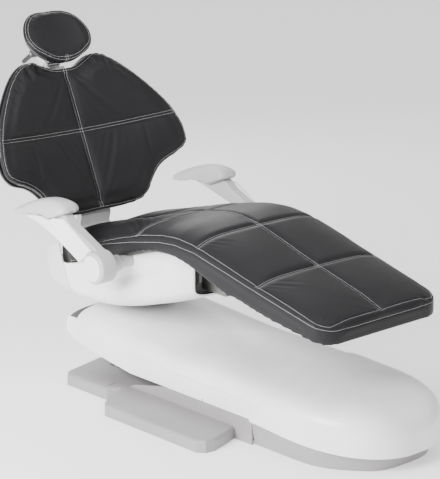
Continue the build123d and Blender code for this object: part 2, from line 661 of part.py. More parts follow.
with BuildPart() as back_arm:
    # spine behind the shell, bending forward to the recline shaft
    slab_x(-58, 58, [on_back(-22, ARM_FRONT), on_back(-22, ARM_REAR), on_back(-235, ARM_REAR - 4), (514, 436), (511, 388),
                     (494, 364), (452, 358), (412, 364), (388, 380), (388, 408), (412, 414), (440, 404),
                     (478, 402), (495, 412), on_back(-257, ARM_FRONT)])
    disc_x(-96, 96, RECLINE_PIVOT, 20)
    for side in (-1, 1):
        slab_x(side * 11, side * 19, [(398, 385), (424, 385), (424, 345), (400, 345)])
        disc_x(side * 11, side * 19, CYL_LEVER, 12.5)
    block(-11, 11, 395, 446, 330, 374, mode=Mode.SUBTRACT)
    disc_x(-100, 100, RECLINE_PIVOT, 12 + RUN, mode=Mode.SUBTRACT)
    disc_x(-22, 22, CYL_LEVER, 6, mode=Mode.SUBTRACT)
finish(back_arm, "back_arm")

with BuildPart() as back_cylinder_pin:
    disc_x(-20, 20, CYL_LEVER, 6)
finish(back_cylinder_pin, "back_cylinder_pin")

GUIDE_F, GUIDE_R = SHELL_REAR - 0.2, SHELL_REAR - 16
GLIDE_F, GLIDE_R = GUIDE_F - 4, GUIDE_F - 11


def back_block(x0, x1, s0, s1, n0, n1, mode=Mode.ADD):
    """Block in the back's own axes."""
    slab_x(x0, x1, [on_back(s0, n0), on_back(s1, n0), on_back(s1, n1), on_back(s0, n1)], mode=mode)


with BuildPart() as headrest_guide:
    back_block(-44, 44, 0, 170, GUIDE_F, GUIDE_R)
    back_block(-34.3, 34.3, -10, 180, GLIDE_F + 0.3, GLIDE_R - 0.3, mode=Mode.SUBTRACT)
finish(headrest_guide, "headrest_guide")

BAR_TOP = 214
with BuildPart() as headrest_glide_bar:
    back_block(-34, 34, -16, BAR_TOP, GLIDE_F, GLIDE_R)
    bar_x(-20, 20, on_back(BAR_TOP - 6, (GLIDE_F + GLIDE_R) / 2), HINGE_LOW, 3.5)
    disc_x(-20, 20, HINGE_LOW, 11)
    disc_x(-24, 24, HINGE_LOW, 5 + RUN, mode=Mode.SUBTRACT)
finish(headrest_glide_bar, "headrest_glide_bar")

with BuildPart() as headrest_link:
    for side in (-1, 1):
        bar_x(side * 20.4, side * 27, HINGE_LOW, HINGE_HIGH, 11)
        disc_x(side * 15, side * 21, HINGE_HIGH, 10)
    block(-21, 21, 717, 725, 888, 900)
    disc_x(-30, 30, HINGE_LOW, 5, mode=Mode.SUBTRACT)
    disc_x(-30, 30, HINGE_HIGH, 5, mode=Mode.SUBTRACT)
finish(headrest_link, "headrest_link")

with BuildPart() as headrest_pins:
    disc_x(-30, 30, HINGE_LOW, 5)
    disc_x(-46, 30, HINGE_HIGH, 5)
finish(headrest_pins, "headrest_pins")

HT = radians(HEAD_TILT)
head_plane = Plane(origin=(0, HEAD_FACE[0], HEAD_FACE[1]), x_dir=(1, 0, 0), z_dir=(0, -cos(HT), sin(HT)))


def on_head(s, n):
    """(y, z) of a point s up the headrest and n in front of its face centre."""
    return (HEAD_FACE[0] + s * sin(HT) - n * cos(HT), HEAD_FACE[1] + s * cos(HT) + n * sin(HT))


with BuildPart() as headrest_bracket:
    back_face = -(HEAD_T + 7)
    slab_x(-14.5, 14.5, [on_head(-34, back_face - 0.3), on_head(34, back_face - 0.3),
                         on_head(34, back_face - 6), on_head(-34, back_face - 6)])
    bar_x(-14.5, 14.5, on_head(-10, back_face - 3.2), HINGE_HIGH, 3)
    disc_x(-14.5, 14.5, HINGE_HIGH, 10.5)
    disc_x(-16, 16, HINGE_HIGH, 5 + RUN, mode=Mode.SUBTRACT)
finish(headrest_bracket, "headrest_bracket")


def head_outline(depth, scale_by):
    """Egg outline of the headrest, fuller at the top, at one depth."""
    half = [(0, 94), (70, 82), (116, 40), (127, -4), (112, -48), (66, -84), (0, -94)]
    with BuildSketch(head_plane.offset(depth)) as profile:
        with BuildLine():
            Spline(*[(x * scale_by, s * scale_by) for x, s in half], tangents=[(1, 0), (-1, 0)])
            Line((0, -94 * scale_by), (0, 94 * scale_by))
        make_face()
        mirror(about=Plane.YZ)
    return profile.sketch


with BuildPart() as headrest_cushion:
    loft([head_outline(-HEAD_T, 0.94), head_outline(-HEAD_T * 0.5, 1.0), head_outline(0, 0.92)])
finish(headrest_cushion, "headrest_cushion")

with BuildPart() as headrest_shell:
    loft([head_outline(-HEAD_T - 7, 0.78), head_outline(-HEAD_T - 0.4, 0.92)])
finish(headrest_shell, "headrest_shell")

with BuildPart() as headrest_lock_lever:
    disc_x(-42, -28, HINGE_HIGH, 12)
    bar_x(-42, -34, HINGE_HIGH, (HINGE_HIGH[0] + 44, HINGE_HIGH[1] - 30), 6)
    disc_x(-50, -20, HINGE_HIGH, 5 + RUN, mode=Mode.SUBTRACT)
finish(headrest_lock_lever, "headrest_lock_lever")

# =====================================================================  ARMRESTS
HUB_X0, HUB_X1 = 290, 348
HUB_R = 47
ARM_RISE = radians(28)


def from_hub(run, rise):
    """(y, z) of a point measured along and across the armrest from its hub."""
    return (ARM_AXIS[0] + run * cos(ARM_RISE) - rise * sin(ARM_RISE),
            ARM_AXIS[1] + run * sin(ARM_RISE) + rise * cos(ARM_RISE))


PAD_PROFILE = [(466, 512), (450, 528), (416, 544), (343, 570), (282, 582), (239, 580), (214, 566), (225, 549),
               (290, 522), (319, 527), (365, 524), (442, 508)]

for side, name in ((-1, "right"), (1, "left")):
    with BuildPart() as armrest_axle:
        disc_x(side * (FRAME_X1 - 6), side * 300, ARM_AXIS, 10)
    finish(armrest_axle, f"armrest_axle_{name}")

    with BuildPart() as armrest_arm:
        disc_x(side * HUB_X0, side * HUB_X1, ARM_AXIS, HUB_R)
        fillet(armrest_arm.edges().filter_by(GeomType.CIRCLE), 7)
        disc_x(side * 251, side * (HUB_X0 + 5), ARM_AXIS, 24)
        disc_x(side * 222, side * 252, ARM_AXIS, BOSS_R)
        with BuildSketch(Plane.YZ.offset(side * 296)):
            with BuildLine():
                Polyline(from_hub(10, 42), (198, 522), (230, 546), (290, 521), (319, 526), (364, 523),
                         from_hub(120, -2), from_hub(10, -10), close=True)
            make_face()
        extrude(amount=side * 32)
        disc_x(side * 220, side * 301, ARM_AXIS, 10 + RUN, mode=Mode.SUBTRACT)
    finish(armrest_arm, f"armrest_arm_{name}")

    with BuildPart() as armrest_panel:
        with BuildSketch(Plane.YZ.offset(side * 328.4)):
            with BuildLine():
                Polyline(from_hub(30, 34), from_hub(178, 38), (268, 530), (288, 521), (320, 525.5), (365, 522.5),
                         (402, 515))
                Spline((402, 515), (326, 500), (247, 471), (150, 424), tangents=[(-1, -0.1), (-0.9, -0.45)])
                Line((150, 424), from_hub(30, 34))
            make_face()
        extrude(amount=side * 12)
        disc_x(side * 320, side * 350, ARM_AXIS, HUB_R + 0.5, mode=Mode.SUBTRACT)
    finish(armrest_panel, f"armrest_panel_{name}")

    with BuildPart() as armrest_hub_cap:
        disc_x(side * (HUB_X1 + 0.2), side * (HUB_X1 + 4), ARM_AXIS, 38)
        fillet(armrest_hub_cap.edges().filter_by(GeomType.CIRCLE).sort_by(Axis.X)[-1 if side > 0 else 0], 2)
    finish(armrest_hub_cap, f"armrest_hub_cap_{name}")

    with BuildPart() as armrest_pad:
        with BuildSketch(Plane.YZ.offset(side * 276)):
            with BuildLine():
                Polyline(*PAD_PROFILE, close=True)
            make_face()
        extrude(amount=side * 68)
        fillet(armrest_pad.edges().filter_by(Axis.X).group_by(Axis.Z)[-1], 8)
    finish(armrest_pad, f"armrest_pad_{name}")
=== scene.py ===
import bmesh
import bpy
import json
from math import cos, pi, radians, sin
from mathutils import Matrix, Vector
from mathutils.bvhtree import BVHTree
from mathutils.kdtree import KDTree
import numpy as np


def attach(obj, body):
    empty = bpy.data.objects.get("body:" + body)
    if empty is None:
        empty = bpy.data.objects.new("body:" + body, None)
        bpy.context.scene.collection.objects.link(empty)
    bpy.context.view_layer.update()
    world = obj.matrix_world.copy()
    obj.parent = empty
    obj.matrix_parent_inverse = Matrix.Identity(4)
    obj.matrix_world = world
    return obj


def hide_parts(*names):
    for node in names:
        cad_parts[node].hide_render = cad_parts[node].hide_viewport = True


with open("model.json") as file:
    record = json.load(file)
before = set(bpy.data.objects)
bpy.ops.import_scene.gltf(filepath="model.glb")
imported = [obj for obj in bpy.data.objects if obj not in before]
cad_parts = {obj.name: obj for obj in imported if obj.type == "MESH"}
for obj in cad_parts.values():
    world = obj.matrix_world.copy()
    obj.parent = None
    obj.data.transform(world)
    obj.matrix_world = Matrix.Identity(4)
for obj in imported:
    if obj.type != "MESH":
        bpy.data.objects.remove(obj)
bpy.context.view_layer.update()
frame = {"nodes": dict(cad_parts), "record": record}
nodes = frame["nodes"]
record = frame["record"]
MM = 0.001


# ---------------------------------------------------------------- materials
def new_material(name, colour, roughness, metallic=0.0, coat=0.0, grain=None, mottled=0.06, spread=0.05,
                 specular=0.5):
    """Principled material: its colour and roughness vary softly over the surface, and grain gives it a bump.
    grain is a list of (kind, scale per metre, strength)."""
    mat = bpy.data.materials.new(name)
    mat.use_nodes = True
    tree = mat.node_tree
    shader = tree.nodes["Principled BSDF"]
    shader.inputs["Metallic"].default_value = metallic
    shader.inputs["Coat Weight"].default_value = coat
    shader.inputs["Coat Roughness"].default_value = 0.12
    shader.inputs["Specular IOR Level"].default_value = specular
    where = tree.nodes.new("ShaderNodeTexCoord")
    cloud = tree.nodes.new("ShaderNodeTexNoise")
    cloud.inputs["Scale"].default_value = 7.0
    cloud.inputs["Detail"].default_value = 4.0
    tree.links.new(where.outputs["Object"], cloud.inputs["Vector"])
    tint = tree.nodes.new("ShaderNodeValToRGB")
    for stop, level in zip(tint.color_ramp.elements, (1 - mottled, 1 + mottled)):
        stop.color = (*[min(1.0, c * level) for c in colour], 1)
    tint.color_ramp.elements[0].position = 0.3
    tint.color_ramp.elements[1].position = 0.7
    tree.links.new(cloud.outputs["Fac"], tint.inputs["Fac"])
    tree.links.new(tint.outputs["Color"], shader.inputs["Base Color"])
    fine = tree.nodes.new("ShaderNodeTexNoise")
    fine.inputs["Scale"].default_value = 60.0
    fine.inputs["Detail"].default_value = 3.0
    tree.links.new(where.outputs["Object"], fine.inputs["Vector"])
    shine = tree.nodes.new("ShaderNodeMapRange")
    shine.inputs["To Min"].default_value = roughness - spread
    shine.inputs["To Max"].default_value = roughness + spread
    tree.links.new(fine.outputs["Fac"], shine.inputs["Value"])
    tree.links.new(shine.outputs["Result"], shader.inputs["Roughness"])
    normal = None
    for kind, scale, strength in grain or []:
        texture = tree.nodes.new(kind)
        texture.inputs["Scale"].default_value = scale
        tree.links.new(where.outputs["Object"], texture.inputs["Vector"])
        bump = tree.nodes.new("ShaderNodeBump")
        bump.inputs["Strength"].default_value = strength
        bump.inputs["Distance"].default_value = 0.4 / scale
        output = "Distance" if kind == "ShaderNodeTexVoronoi" else "Fac"
        tree.links.new(texture.outputs[output], bump.inputs["Height"])
        if normal:
            tree.links.new(normal, bump.inputs["Normal"])
        normal = bump.outputs["Normal"]
    if normal:
        tree.links.new(normal, shader.inputs["Normal"])
    return mat


LEATHER_GRAIN = [("ShaderNodeTexVoronoi", 750.0, 0.22), ("ShaderNodeTexNoise", 260.0, 0.12)]
MOULD_GRAIN = [("ShaderNodeTexNoise", 900.0, 0.06)]
TEXTURED_GRAIN = [("ShaderNodeTexNoise", 1400.0, 0.22)]
GROUND_GRAIN = [("ShaderNodeTexNoise", 1800.0, 0.1)]
# per slot: roughness, metallic, coat, grain
FINISHES = {
    "upholstery": (0.37, 0.0, 0.0, LEATHER_GRAIN),
    "white_cover": (0.30, 0.0, 0.10, MOULD_GRAIN),
    "pale_cover": (0.34, 0.0, 0.08, MOULD_GRAIN),
    "base_grey": (0.42, 0.0, 0.0, TEXTURED_GRAIN),
    "armrest_grey": (0.42, 0.0, 0.0, TEXTURED_GRAIN),
    "shell_black": (0.45, 0.0, 0.0, TEXTURED_GRAIN),
    "light_paint": (0.36, 0.0, 0.1, MOULD_GRAIN),
    "dark_paint": (0.45, 0.2, 0.0, TEXTURED_GRAIN),
    "bright_steel": (0.26, 1.0, 0.0, GROUND_GRAIN),
    "bronze": (0.35, 1.0, 0.0, GROUND_GRAIN),
    "cast_aluminium": (0.48, 1.0, 0.0, TEXTURED_GRAIN),
    "tank_plastic": (0.40, 0.0, 0.0, MOULD_GRAIN),
}
# these plastics are drawn darker than their recorded colour, to look right under the studio lights
SHADE = {"base_grey": 0.62, "pale_cover": 0.92, "armrest_grey": 0.9}
MATERIALS = {}
for entry in record["materials"]:
    name = entry["slot"]
    roughness, metallic, coat, grain = FINISHES[name]
    specular = 0.14 if name == "upholstery" else 0.5
    colour = [c * SHADE.get(name, 1.0) for c in entry["base_color"][:3]]
    MATERIALS[name] = new_material(name, colour, roughness, metallic, coat, grain, specular=specular)
THREAD = new_material("thread", (0.42, 0.41, 0.42), 0.6, grain=TEXTURED_GRAIN)

for part in record["subparts"]:
    data = nodes[part["node"]].data
    data.materials.clear()
    data.materials.append(MATERIALS[part["material_slot"]])


# ---------------------------------------------------------------- mesh helpers
def make_object(name, verts, faces, place=Matrix.Identity(4)):
    """New object from vertices and faces in its own frame."""
    mesh = bpy.data.meshes.new(name)
    mesh.from_pydata(verts, [], faces)
    mesh.update()
    obj = bpy.data.objects.new(name, mesh)
    bpy.context.collection.objects.link(obj)
    obj.matrix_world = place
    return obj


def mesh_lists(node):
    """Vertices and faces of a CAD node's mesh."""
    data = nodes[node].data
    return [v.co.copy() for v in data.vertices], [tuple(p.vertices) for p in data.polygons]


def bake(obj):
    """Apply every modifier by taking the evaluated mesh."""
    bpy.context.view_layer.update()
    graph = bpy.context.evaluated_depsgraph_get()
    mesh = bpy.data.meshes.new_from_object(obj.evaluated_get(graph))
    obj.modifiers.clear()
    old = obj.data
    obj.data = mesh
    bpy.data.meshes.remove(old)
    mesh.polygons.foreach_set("use_smooth", [True] * len(mesh.polygons))


def modify(obj, kind, **settings):
    """Add a modifier with these settings and apply it."""
    modifier = obj.modifiers.new(kind.lower(), kind)
    for key, value in settings.items():
        setattr(modifier, key, value)
    bake(obj)


def coordinates(obj):
    """Vertex positions in the object's own frame, as an array."""
    flat = np.empty(len(obj.data.vertices) * 3, np.float32)
    obj.data.vertices.foreach_get("co", flat)
    return flat.reshape(-1, 3).astype(float)


def normals(obj):
    """Vertex normals in the object's own frame, as an array."""
    flat = np.empty(len(obj.data.vertices) * 3, np.float32)
    obj.data.vertex_normals.foreach_get("vector", flat)
    return flat.reshape(-1, 3).astype(float)


def set_coordinates(obj, points):
    obj.data.vertices.foreach_set("co", points.astype(np.float32).ravel())
    obj.data.update()


def finish_piece(obj, body, slot, *replaced):
    """Give a piece its slot's material, body and the CAD nodes it stands for."""
    obj.data.materials.clear()
    obj.data.materials.append(MATERIALS[slot])
    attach(obj, body)
    if replaced:
        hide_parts(*replaced)
    return obj


CLOTH_FRAMES = 20


def inflate(obj, held, pressure, cap):
    """Blow a closed form up with a cloth simulation.
    held marks the points that stay, and no point moves past cap."""
    rest = coordinates(obj)
    pins = obj.vertex_groups.new(name="held")
    pins.add([int(i) for i in np.nonzero(held)[0]], 1.0, "REPLACE")
    cloth = obj.modifiers.new("cloth", "CLOTH")
    cloth.settings.quality = 5
    cloth.settings.mass = 0.3
    cloth.settings.use_pressure = True
    cloth.settings.uniform_pressure_force = pressure
    cloth.settings.vertex_group_mass = "held"
    cloth.settings.effector_weights.gravity = 0
    cloth.collision_settings.use_collision = False
    cloth.point_cache.frame_start = 1
    cloth.point_cache.frame_end = CLOTH_FRAMES
    for step in range(1, CLOTH_FRAMES + 1):
        bpy.context.scene.frame_set(step)
    bake(obj)
    bpy.context.scene.frame_set(1)
    move = coordinates(obj) - rest
    size = np.linalg.norm(move, axis=1, keepdims=True)
    set_coordinates(obj, rest + move * np.minimum(1.0, cap / np.maximum(size, 1e-9)))


def bump(distance, width):
    """Smooth bell of height 1 at distance 0."""
    return np.exp(-(distance / width) ** 2)


def polyline_distance(points, line):
    """Distance in a plane from each point to the nearest of a dense line's points."""
    tree = KDTree(len(line))
    for i, (a, b) in enumerate(line):
        tree.insert((a, b, 0), i)
    tree.balance()
    return np.array([tree.find((a, b, 0))[2] for a, b in points])


def dense(line, step):
    """The same (a, b) polyline with its points about a step apart."""
    out = []
    for (a0, b0), (a1, b1) in zip(line, line[1:]):
        count = max(1, int(np.hypot(a1 - a0, b1 - b0) / step))
        out += [(a0 + (a1 - a0) * k / count, b0 + (b1 - b0) * k / count) for k in range(count)]
    return out + [line[-1]]


STITCH_LENGTH, STITCH_GAP, THREAD_R = 3.6 * MM, 1.5 * MM, 0.55 * MM
LONGEST_STEP = 30 * MM                 # a longer step from one hit to the next is a gap in the row
# place along the stitch and thickness of its four rings
STITCH_RINGS = ((-0.5, 0.3), (-0.3, 1.0), (0.3, 1.0), (0.5, 0.3))


def stitches(name, obj, rays, body):
    """Sewn rows on obj.
    Each row is a list of (start, direction) rays in obj's frame, cast onto its surface."""
    surface = BVHTree.FromPolygons([v.co for v in obj.data.vertices], [p.vertices for p in obj.data.polygons])
    verts, faces = [], []
    for row in rays:
        hits = [surface.ray_cast(Vector(start), Vector(direction)) for start, direction in row]
        path = [(h[0], h[1]) for h in hits if h[0]]
        travelled, due = 0.0, 0.0
        for (p0, n0), (p1, n1) in zip(path, path[1:]):
            step = (p1 - p0).length
            if step > LONGEST_STEP or step == 0:
                continue
            along = (p1 - p0) / step
            while due < travelled + step:
                middle = p0 + along * (due - travelled)
                side = along.cross(n0).normalized()
                up = side.cross(along)
                base = len(verts)
                for place, thick in STITCH_RINGS:
                    for k in range(6):
                        around = side * cos(k * pi / 3) + up * sin(k * pi / 3)
                        verts.append(middle + along * place * STITCH_LENGTH + around * THREAD_R * thick
                                     + up * THREAD_R * 0.4)
                for ring in range(3):
                    for k in range(6):
                        a, b = base + ring * 6 + k, base + ring * 6 + (k + 1) % 6
                        faces.append((a, b, b + 6, a + 6))
                faces.append(tuple(base + k for k in reversed(range(6))))
                faces.append(tuple(base + 18 + k for k in range(6)))
                due += STITCH_LENGTH + STITCH_GAP
            travelled += step
    thread = make_object(name, verts, faces, obj.matrix_world.copy())
    thread.data.materials.append(THREAD)
    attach(thread, body)
    return thread


# ---------------------------------------------------------------- seat cushion
# along y, in mm: the edge line, the underside, and the crown's height over the edge line
SEAT_EDGE_Y = [-728, -715, -700, -572, -473, -358, -236, -154, -90, 27, 222, 338]
SEAT_EDGE_Z = [398, 402, 406, 437, 460, 490, 517, 524, 519, 496, 447, 420]
SEAT_LOW_Y = [-728, -553, -457, -358, -216, -160, -111, -60, -3, 108, 222, 338]
SEAT_LOW_Z = [350, 388, 407, 429, 468, 479, 482, 479, 466, 431, 396, 368]
SEAT_CROWN_Y = [-728, -640, -400, -240, -120, 20, 160, 338]
SEAT_CROWN_Z = [8, 20, 28, 40, 46, 47, 38, 22]
SEAT_HALF, TOE_HALF = 244, 236
TOE_CORNER, REAR_CORNER = 64, 40
SKIRT = 11                             # the side band hangs this far below the underside
REAR_LEAN, LEAN_START = 38, 200        # the top leans back by this much at the rear, from this y on
SEAT_FRONT, SEAT_REAR = -728, 338
LATERAL_SEAMS = [(-13, 27), (-240, -236), (-475, -473)]       # y at the middle and at the edge
SWELL = 5                              # the rim of the start form is this much lower than the edge line
SEAT_BORDER, SIDE_ROW = 13, 7          # stitched border: inset on the top, and drop on the side
SEAM_ROWS = (-4.5, 4.5)                # stitched rows to either side of a seam


def seat_half_width(y):
    """Half width of the seat's plan at y, in mm."""
    straight = np.interp(y, [-640, -300], [TOE_HALF, SEAT_HALF])
    toe = np.clip(SEAT_FRONT + TOE_CORNER - y, 0, TOE_CORNER)
    rear = np.clip(y - (SEAT_REAR - REAR_CORNER), 0, REAR_CORNER)
    return straight - (TOE_CORNER - np.sqrt(TOE_CORNER ** 2 - toe ** 2)) - (
        REAR_CORNER - np.sqrt(REAR_CORNER ** 2 - rear ** 2))


def seat_form():
    """Closed start form of the seat: crowned top over a side band and a flat underside."""
    around = 40
    verts, faces = [], []
    stations = np.concatenate([SEAT_FRONT + TOE_CORNER * (1 - np.cos(np.linspace(0, pi / 2, 9))),
                               np.linspace(SEAT_FRONT + TOE_CORNER, SEAT_REAR - REAR_CORNER, 90)[1:-1],
                               SEAT_REAR - REAR_CORNER * (1 - np.sin(np.linspace(0, pi / 2, 7)))])
    for y in stations:
        half = float(seat_half_width(y)) - 2
        edge, low = np.interp(y, SEAT_EDGE_Y, SEAT_EDGE_Z), np.interp(y, SEAT_LOW_Y, SEAT_LOW_Z) + 1
        crown = np.interp(y, SEAT_CROWN_Y, SEAT_CROWN_Z) - 1
        for k in range(around + 1):
            u = cos(pi * k / around)
            rise = (crown + SWELL) * (1 - abs(u) ** 4) ** 0.55
            verts.append((u * half * MM, y * MM, (edge - SWELL + rise) * MM))
        skirt = SKIRT * np.interp(y, [-640, -520, -330, -180], [0.3, 1, 0.9, 0])
        for x, z in ((-half, low - skirt), (-half + 22, low), (half - 22, low), (half, low - skirt)):
            verts.append((x * MM, y * MM, z * MM))
        for i in range(len(verts) - around - 5, len(verts)):
            x_m, y_m, z_m = verts[i]
            share = np.clip((z_m / MM - low) / (edge - low), 0, 1)
            share *= np.clip((y - LEAN_START) / (SEAT_REAR - LEAN_START), 0, 1)
            verts[i] = (x_m, y_m + REAR_LEAN * share * MM, z_m)
    ring = around + 5
    for j in range(len(stations) - 1):
        for k in range(ring):
            a, b = j * ring + k, j * ring + (k + 1) % ring
            faces.append((a, b, b + ring, a + ring))
    faces.append(tuple(range(ring)))
    faces.append(tuple(reversed(range((len(stations) - 1) * ring, len(stations) * ring))))
    return make_object("seat_upholstery", verts, faces)


def seam_y(x, middle, edge):
    """y at x of a lateral seam that bows from y = middle on the middle line to y = edge at the side."""
    return middle + (edge - middle) * (x / SEAT_HALF) ** 2


def seat_fields(points):
    """For points on the seat: distance to each seam and height over the edge line, in mm."""
    x, y, z = points.T / MM
    seams = [np.abs(x)]
    for middle, edge in LATERAL_SEAMS:
        seams.append(np.abs(y - seam_y(x, middle, edge)))
    return np.array(seams), z - np.interp(y, SEAT_EDGE_Y, SEAT_EDGE_Z)


def seat_outline(inset):
    """Plan outline of the seat, in mm, moved in by an inset, from the rear round the toe and back."""
    side = [(float(seat_half_width(y)) - inset, y) for y in
            np.concatenate([np.linspace(SEAT_REAR - 1, -600, 60),
                            SEAT_FRONT + TOE_CORNER * (1 - np.sin(np.linspace(0, pi / 2, 14)))])]
    side = [(x, max(y, SEAT_FRONT + inset)) for x, y in side]
    return dense(side + [(-x, y) for x, y in reversed(side)], 4)


seat = seat_form()
modify(seat, "REMESH", mode="VOXEL", voxel_size=6 * MM)
modify(seat, "SMOOTH", factor=0.5, iterations=4)
points = coordinates(seat)
seams, height = seat_fields(points)
top = normals(seat)[:, 2] > 0.3
on_seam = top & (seams.min(axis=0) < 4)
inflate(seat, on_seam | (height < -28), 4.0, 9 * MM)
modify(seat, "SUBSURF", levels=1)
points, facing = coordinates(seat), normals(seat)
seams, height = seat_fields(points)
top = np.clip((facing[:, 2] - 0.15) / 0.3, 0, 1)
inset = polyline_distance(points[:, :2] / MM, seat_outline(0))
fade = np.clip((inset - 6) / 14, 0, 1)
channel = (5.5 * bump(seams, 11) + 1.6 * bump(seams, 4)).max(axis=0) * fade
top_groove = 1.6 * bump(inset - SEAT_BORDER, 2.2) * top
side_groove = 1.4 * bump(height + SIDE_ROW, 2.2) * (1 - top)
piping = 1.2 * bump(inset - 5, 5) * top
welt = top_groove + side_groove - piping
set_coordinates(seat, points - facing * ((channel * top + welt) * MM)[:, None])
finish_piece(seat, "seat", "upholstery", "seat_cushion")

DOWN = (0, 0, -1)
HIGH = 0.7                             # rays start this high, in metres
rows = []
for offset in SEAM_ROWS:
    rows.append([((offset * MM, y * MM, HIGH), DOWN) for y in np.arange(SEAT_FRONT + 18, SEAT_REAR - 4, 3)])
    for middle, edge in LATERAL_SEAMS:
        rows.append([((x * MM, (seam_y(x, middle, edge) + offset) * MM, HIGH), DOWN)
                     for x in np.arange(-SEAT_HALF + 12, SEAT_HALF - 11, 3)])
rows.append([((x * MM, y * MM, HIGH), DOWN) for x, y in seat_outline(SEAT_BORDER)])
border = seat_outline(0)
side_row = []
for (x0, y0), (x1, y1) in zip(border, border[1:]):
    out = Vector((y0 - y1, x1 - x0, 0)).normalized()
    row_z = np.interp(y0, SEAT_EDGE_Y, SEAT_EDGE_Z) - SIDE_ROW
    at = Vector(((x0 + x1) / 2 * MM, (y0 + y1) / 2 * MM, row_z * MM))
    if out.dot(Vector((x0, y0 + 200, 0))) < 0:
        out = -out
    side_row.append((at + out * 0.06, -out))
rows.append(side_row)
stitches("seat_stitching", seat, rows, "seat")


# ---------------------------------------------------------------- back cushion
def leaning_frame(origin, tilt):
    """Frame on a tilted face: x across, y up the face, z out of it towards the patient."""
    lean = radians(tilt)
    across, up, out = Vector((1, 0, 0)), Vector((0, sin(lean), cos(lean))), Vector((0, -cos(lean), sin(lean)))
    matrix = Matrix((across, up, out)).transposed().to_4x4()
    matrix.translation = Vector(origin) * MM
    return matrix


def mirrored(half):
    """Closed outline from its right half, which runs from the top of the middle line to its foot."""
    return half + [(-x, s) for x, s in reversed(half[1:-1])]


def smooth_outline(half, per_span=10):
    """Closed Catmull-Rom outline through a right half and its mirror image."""
    control = mirrored(half)
    count = len(control)
    out = []
    for i in range(count):
        p0, p1, p2, p3 = (np.array(control[(i + k) % count], float) for k in (-1, 0, 1, 2))
        for k in range(per_span):
            t = k / per_span
            out.append(tuple(0.5 * (2 * p1 + (p2 - p0) * t + (2 * p0 - 5 * p1 + 4 * p2 - p3) * t * t
                                    + (3 * p1 - p0 - 3 * p2 + p3) * t ** 3)))
    return out


def pad_form(name, outline, front, rear, rounding, place):
    """Closed pad on an outline about its origin: rings in front and behind, joined at the rim.
    front and rear give the depth at (x, s)."""
    rings = 24
    verts, faces = [], []
    count = len(outline)
    for side, depth in ((1, front), (-1, rear)):
        for ring in range(1, rings + 1):
            share = ring / rings
            for x, s in outline:
                reach = np.hypot(x, s)
                gap = reach * (1 - share)
                lip = max(0.0, 1 - gap / rounding)
                drop = rounding * 0.6 * (1 - (1 - lip ** 2) ** 0.5)
                z = depth(x * share, s * share) - side * drop
                verts.append((x * share * MM, s * share * MM, z * MM))
    for side in (0, 1):
        start = side * rings * count
        for ring in range(rings - 1):
            for k in range(count):
                a, b = start + ring * count + k, start + ring * count + (k + 1) % count
                quad = (a, a + count, b + count, b)
                faces.append(quad if side == 0 else quad[::-1])
        hub = tuple(start + k for k in range(count))
        faces.append(hub if side == 0 else hub[::-1])
    last_front, last_rear = (rings - 1) * count, (2 * rings - 1) * count
    for k in range(count):
        a, b = last_front + k, last_front + (k + 1) % count
        c, d = last_rear + k, last_rear + (k + 1) % count
        faces.append((a, c, d, b))
    obj = make_object(name, verts, faces, place)
    mesh = bmesh.new()
    mesh.from_mesh(obj.data)
    bmesh.ops.recalc_face_normals(mesh, faces=mesh.faces)
    mesh.to_mesh(obj.data)
    mesh.free()
    return obj


BACK_FRAME = leaning_frame((0, 543, 699), 23.4)
# right half of the outline, from the top of the middle line to its foot, in mm across and up the face
BACK_HALF = [(0, 203), (40, 205), (80, 222), (122, 239), (172, 224), (226, 180), (277, 120), (328, 42),
             (356, -32), (361, -84), (350, -113), (314, -133), (280, -144), (252, -158), (230, -177),
             (209, -206), (184, -236), (148, -253), (76, -257), (0, -256)]
BACK_THICK = 42
BACK_WRAP = 0.00048                    # the face comes forward by this times x squared


def back_front(x, s):
    return BACK_WRAP * x * x - 5


def back_rear(x, s):
    return BACK_WRAP * x * x - BACK_THICK + 1


back_outline = smooth_outline([(x * 0.99, s * 0.99) for x, s in BACK_HALF])
back = pad_form("back_upholstery", back_outline, back_front, back_rear, 22, BACK_FRAME)
modify(back, "REMESH", mode="VOXEL", voxel_size=6 * MM)
modify(back, "SMOOTH", factor=0.5, iterations=4)
points = coordinates(back)
front_side = normals(back)[:, 2] > 0.35
x, s, n = points.T / MM
on_seam = front_side & ((np.abs(x) < 4) | (np.abs(s) < 4))
behind = n < BACK_WRAP * x * x - BACK_THICK + 12
inflate(back, on_seam | behind, 4.0, 10 * MM)
modify(back, "SUBSURF", levels=1)
points, facing = coordinates(back), normals(back)
x, s, n = points.T / MM
front_side = np.clip((facing[:, 2] - 0.25) / 0.3, 0, 1)
back_border = smooth_outline(BACK_HALF)
inset = polyline_distance(points[:, :2] / MM, dense(back_border + back_border[:1], 3))
seams = np.array([np.abs(x), np.abs(s)])
fade = np.clip((inset - 8) / 16, 0, 1)
channel = (6.0 * bump(seams, 12) + 1.6 * bump(seams, 4)).max(axis=0) * fade
roll = 4.0 * bump(inset - 34, 16)
welt = 1.5 * bump(inset - 12, 2.2) - 1.0 * bump(inset - 6, 4)
set_coordinates(back, points - facing * ((channel + roll + welt) * front_side * MM)[:, None])
finish_piece(back, "back", "upholstery", "back_cushion")

BEHIND = (0, 0, -1)
AHEAD = 0.25                           # rays start this far in front of a face, in metres


def inward(outline, amount):
    """Outline moved in along its own normals, and closed."""
    count = len(outline)
    pts = np.array(outline, float)
    ahead, aback = np.roll(pts, -1, axis=0), np.roll(pts, 1, axis=0)
    tangent = ahead - aback
    tangent /= np.linalg.norm(tangent, axis=1, keepdims=True)
    normal = np.stack([tangent[:, 1], -tangent[:, 0]], axis=1)
    moved = pts + normal * amount
    if abs(moved[count // 4][0]) > abs(pts[count // 4][0]):
        moved = pts - normal * amount
    return [tuple(p) for p in moved] + [tuple(moved[0])]


